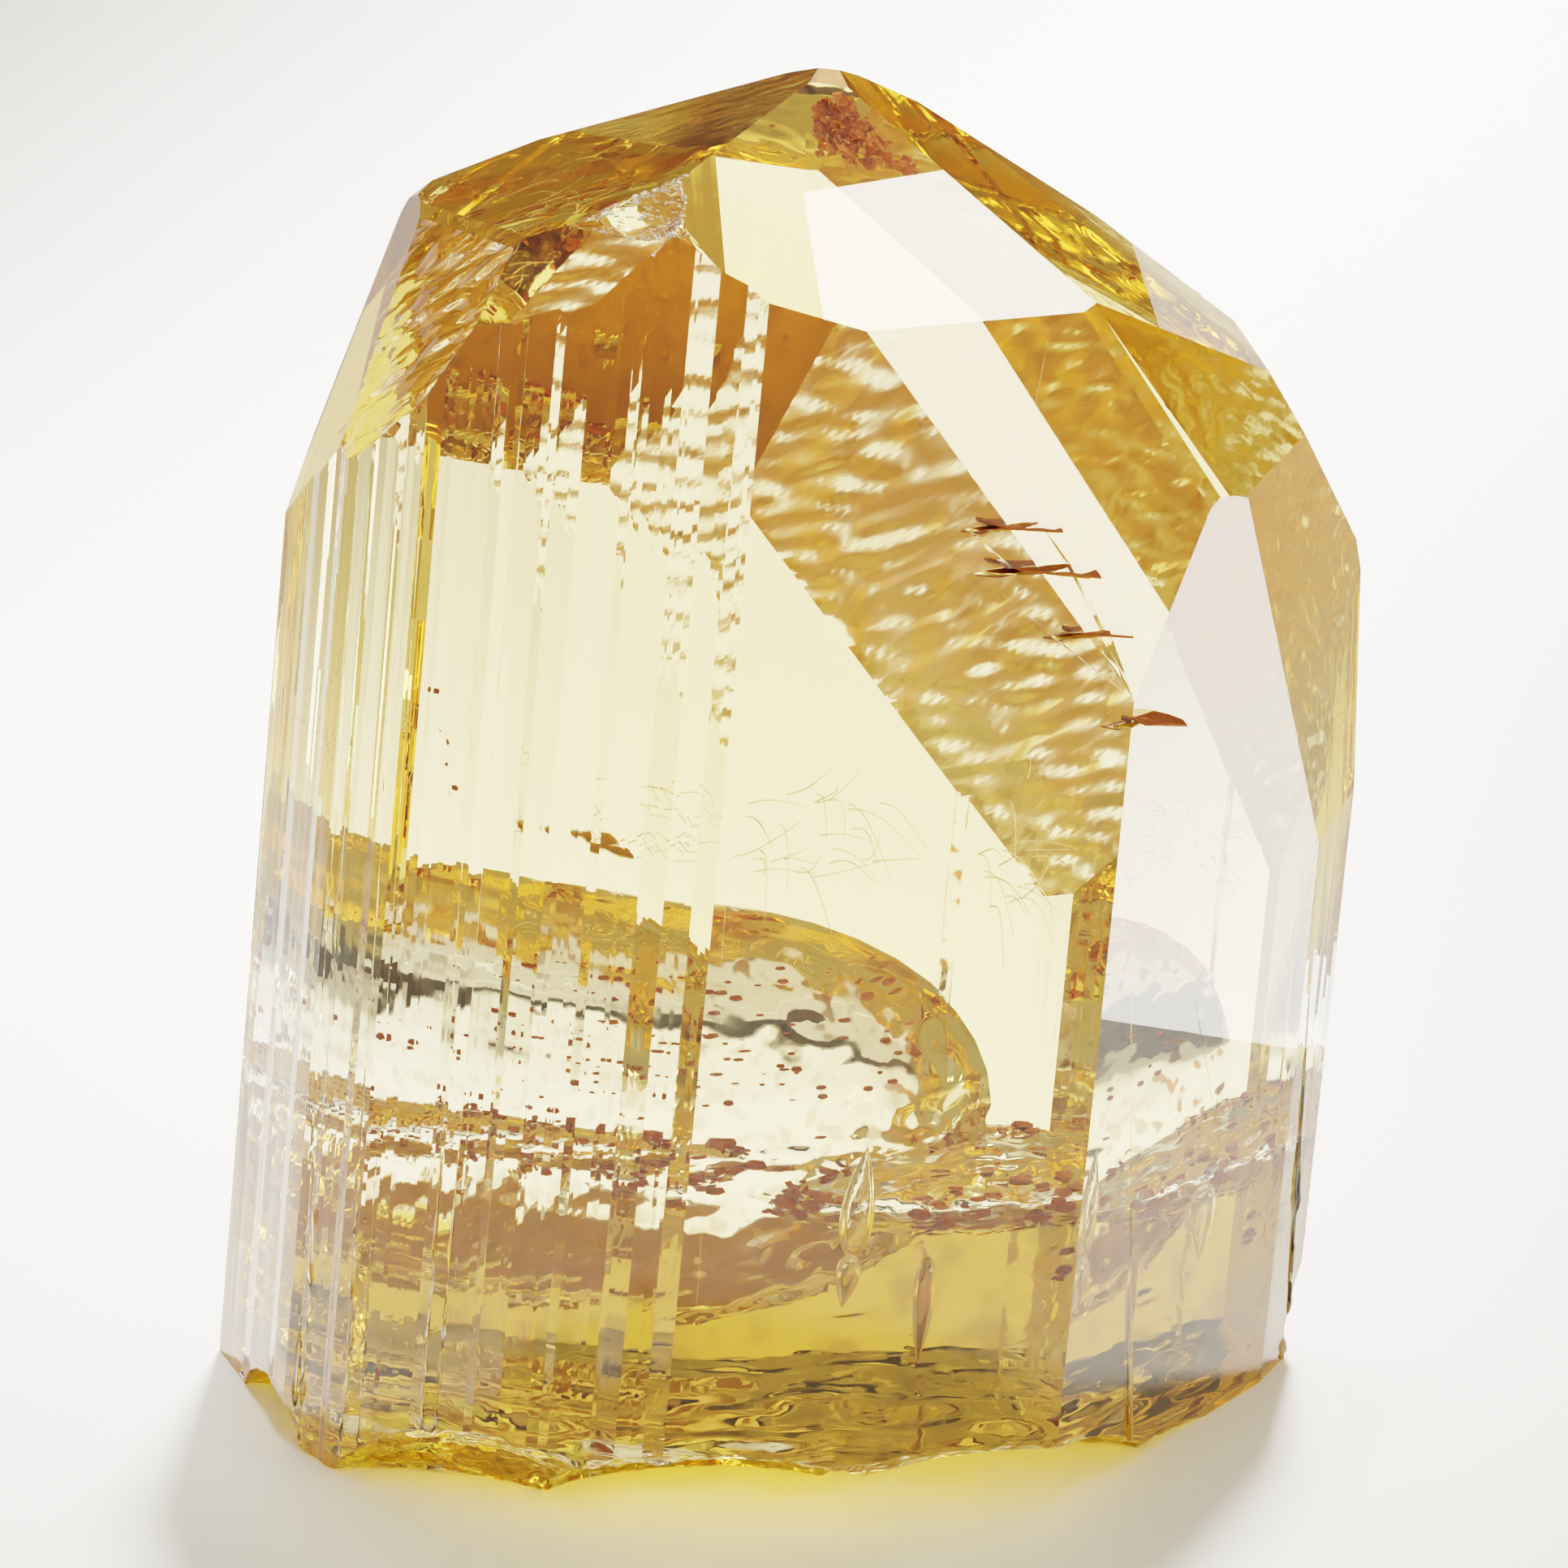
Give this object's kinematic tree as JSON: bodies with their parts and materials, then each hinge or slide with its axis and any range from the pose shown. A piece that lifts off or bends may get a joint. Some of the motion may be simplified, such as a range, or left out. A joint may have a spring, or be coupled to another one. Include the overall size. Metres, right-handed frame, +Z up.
{
  "type": "tourmaline crystal",
  "caption": "Short, stout, clear yellow tourmaline crystal with a striated prism, a many-faced top and a broken foot, standing upright.",
  "frame": {"origin": "middle of the part's box in X and Y, at the level of the flat foot that it stands on", "axes": "+Z up along the crystal, which leans a little to +X at the top; -Y is the front with the wide prism face; +X is the right"},
  "size_m": [0.0198, 0.0142, 0.0239],
  "materials": {
    "crystal": "clear honey-yellow tourmaline with bright natural crystal faces, fine growth striations and iron-stained cracks"
  },
  "bodies": {
    "root": {"crystal": "crystal"}
  },
  "joints": []
}
